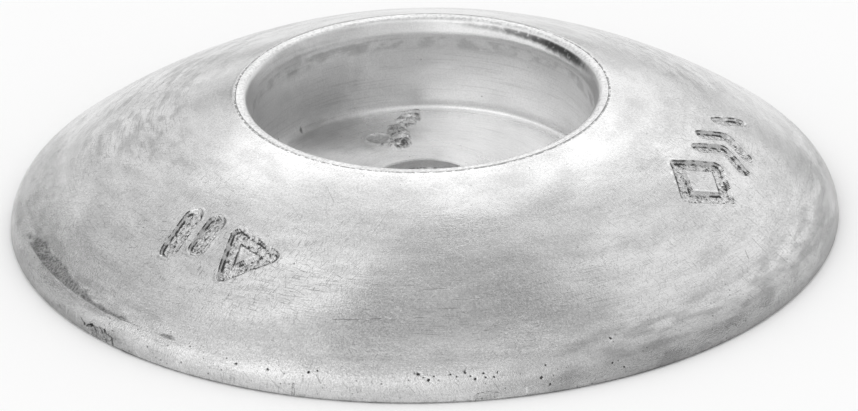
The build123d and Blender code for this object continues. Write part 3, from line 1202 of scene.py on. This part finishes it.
PANELS = (
    # what shines back off the metal: azimuth, elevation and roll in degrees, half width, half height,
    # softness, brightness
    (356, 29, -2, 1.5, 0.41, 0.11, 0.92),   # dark end of the room
    (125, 44, -7, 0.3, 0.72, 0.02, 0.82),   # wall at the back left
    (155, 69, -10, 0.18, 0.15, 0.02, 1.17),
    (58, 38, -19, 0.74, 0.53, 0.12, 0.94),   # wall at the back right
    (84, 39, -34, 0.36, 0.46, 0.03, 1.34),   # soft box behind
    (199, 27, -34, 0.6, 0.41, 0.24, 1.51),   # soft boxes on the left
    (236, 46, -3, 0.37, 0.47, 0.14, 1.31),
    (79, 18, -20, 0.71, 0.1, 0.13, 1.06),   # lit tabletop
    (210, 4, -14, 1.19, 0.33, 0.37, 0.94),
    (129, -5, -28, 0.19, 0.96, 0.02, 0.25),
    (296, 59, -10, 0.29, 0.37, 0.06, 1.37),
    (225, 4, 22, 0.11, 0.49, 0.22, 0.69),
    (289, 41, 0, 0.17, 0.81, 0.15, 0.67),
    (55, 63, 91, 0.67, 0.05, 0.07, 0.67),
    (253, -1, 80, 1.06, 0.19, 0.47, 1.27),
    (329, 28, 11, 0.45, 0.31, 0.31, 0.45),
    (5, 34, 45, 0.3, 0.81, 0.25, 0.55),
)


def studio_world(studio):
    """A white studio. What shines back off metal is its pale walls, with soft boxes and darker gaps."""
    world = bpy.data.worlds.new("Studio")
    world.use_nodes = True
    bpy.context.scene.world = world
    tree = world.node_tree
    tree.nodes.clear()
    direction = put(tree, "ShaderNodeTexCoord").outputs["Generated"]
    tone = studio.walls
    for *panel, brightness in PANELS:
        mask = soft_box(tree, direction, *panel)
        tone = put(tree, "ShaderNodeMix", {0: mask, 2: tone, 3: brightness}, data_type="FLOAT").outputs[0]
    light = put(tree, "ShaderNodeLightPath").outputs
    seen = sums(tree, "MAXIMUM", light["Is Camera Ray"], light["Is Glossy Ray"])
    seen = sums(tree, "MAXIMUM", seen, light["Is Transmission Ray"])
    shown = sums(tree, "MAXIMUM", tone, light["Is Camera Ray"])
    mixed = put(tree, "ShaderNodeMix", {0: seen, 2: studio.sky, 3: shown}, data_type="FLOAT").outputs[0]
    background = put(tree, "ShaderNodeBackground", {"Color": mixed})
    put(tree, "ShaderNodeOutputWorld", {"Surface": background.outputs[0]})


def soft_lamp(name, radiance, azimuth, elevation, width, height=0.6, distance=1.6):
    """An oblong soft lamp that faces the disc, at angles in degrees. Its radiance is that of its face."""
    data = bpy.data.lights.new(name, "AREA")
    data.shape = "RECTANGLE"
    data.size = width
    data.size_y = height
    data.energy = radiance * pi * width * height
    lamp = bpy.data.objects.new(name, data)
    away = heading(azimuth, elevation)
    lamp.location = away * distance
    lamp.rotation_euler = away.to_track_quat("Z", "Y").to_euler()
    lamp.visible_camera = False
    bpy.context.scene.collection.objects.link(lamp)


FLOOR_REACH = 1.5
FLOOR_CLEARANCE = 0.02 * MM
CAMERA_AIM = Vector((0.50, 0.49, 1.02)) * MM


def studio_floor(studio):
    bm = bmesh.new()
    bmesh.ops.create_grid(bm, x_segments=1, y_segments=1, size=FLOOR_REACH)
    mesh = bpy.data.meshes.new("floor")
    bm.to_mesh(mesh)
    bm.free()
    material = bpy.data.materials.new("Floor")
    material.use_nodes = True
    shader = material.node_tree.nodes["Principled BSDF"]
    shader.inputs["Base Color"].default_value = (*studio.floor, 1)
    shader.inputs["Roughness"].default_value = 0.9
    shader.inputs["Specular IOR Level"].default_value = 0.0
    mesh.materials.append(material)
    floor = bpy.data.objects.new("floor", mesh)
    floor.location.z = -FLOOR_CLEARANCE
    bpy.context.scene.collection.objects.link(floor)


def studio_camera(studio):
    data = bpy.data.cameras.new("camera")
    data.sensor_fit = "HORIZONTAL"
    data.sensor_width = 36.0
    data.lens = studio.camera_lens
    data.clip_start = 0.05
    camera = bpy.data.objects.new("camera", data)
    elevation = studio.camera_elevation
    camera.location = studio.camera_distance * Vector((0, -cos(elevation), sin(elevation)))
    camera.rotation_mode = "QUATERNION"
    sight = (CAMERA_AIM - camera.location).to_track_quat("-Z", "Y")
    camera.rotation_quaternion = sight @ Quaternion((0, 0, 1), studio.camera_roll)
    bpy.context.scene.collection.objects.link(camera)
    bpy.context.scene.camera = camera


# ---------------------------------------------------------------- operators

class ANODE_OT_zinc_body(bpy.types.Operator):
    """Model and finish the zinc casting"""

    bl_idname = "anode.zinc_body"
    bl_label = "Zinc casting"

    def execute(self, context):
        scene = context.scene
        bm = zinc_mesh(scene.anode_casting, scene.anode_cup)
        piece = made_piece("cast_zinc_disc", bm, cast_zinc(scene.anode_finish), "zinc_body")
        return {"FINISHED"}


class ANODE_OT_insert_cup(bpy.types.Operator):
    """Model and finish the pressed steel cup"""

    bl_idname = "anode.insert_cup"
    bl_label = "Steel cup"

    def execute(self, context):
        scene = context.scene
        bm = cup_mesh(scene.anode_casting, scene.anode_cup)
        piece = made_piece("pressed_steel_cup", bm, plated_steel(scene.anode_finish), "insert_cup")
        return {"FINISHED"}


class ANODE_OT_stage(bpy.types.Operator):
    """Set up the floor, the light and the camera"""

    bl_idname = "anode.stage"
    bl_label = "Stage"

    def execute(self, context):
        scene = context.scene
        studio = scene.anode_studio
        studio_floor(studio)
        studio_world(studio)
        soft_lamp("back lamp", studio.key, azimuth=90, elevation=50, width=1.1)
        soft_lamp("left lamp", studio.side_key, azimuth=215, elevation=42, width=1.3)
        studio_camera(studio)
        scene.view_settings.view_transform = "Standard"
        return {"FINISHED"}


class ANODE_PT_tools(bpy.types.Panel):
    """The anode's pieces and stage"""

    bl_idname = "ANODE_PT_tools"
    bl_label = "Disc Anode"
    bl_space_type = "VIEW_3D"
    bl_region_type = "UI"
    bl_category = "Anode"

    def draw(self, context):
        for operator in OPERATORS:
            self.layout.operator(operator.bl_idname)


GROUPS = {
    "anode_casting": AnodeCasting,
    "anode_cup": AnodeCup,
    "anode_finish": AnodeFinish,
    "anode_studio": AnodeStudio,
}
OPERATORS = (ANODE_OT_zinc_body, ANODE_OT_insert_cup, ANODE_OT_stage)


def register():
    for group in GROUPS.values():
        bpy.utils.register_class(group)
    for name, group in GROUPS.items():
        setattr(bpy.types.Scene, name, PointerProperty(type=group))
    for operator in OPERATORS:
        bpy.utils.register_class(operator)
    bpy.utils.register_class(ANODE_PT_tools)


def unregister():
    bpy.utils.unregister_class(ANODE_PT_tools)
    for operator in reversed(OPERATORS):
        bpy.utils.unregister_class(operator)
    for name, group in GROUPS.items():
        delattr(bpy.types.Scene, name)
        bpy.utils.unregister_class(group)


def main():
    register()
    bpy.ops.anode.zinc_body()
    bpy.ops.anode.insert_cup()
    bpy.ops.anode.stage()


if __name__ == "__main__":
    main()
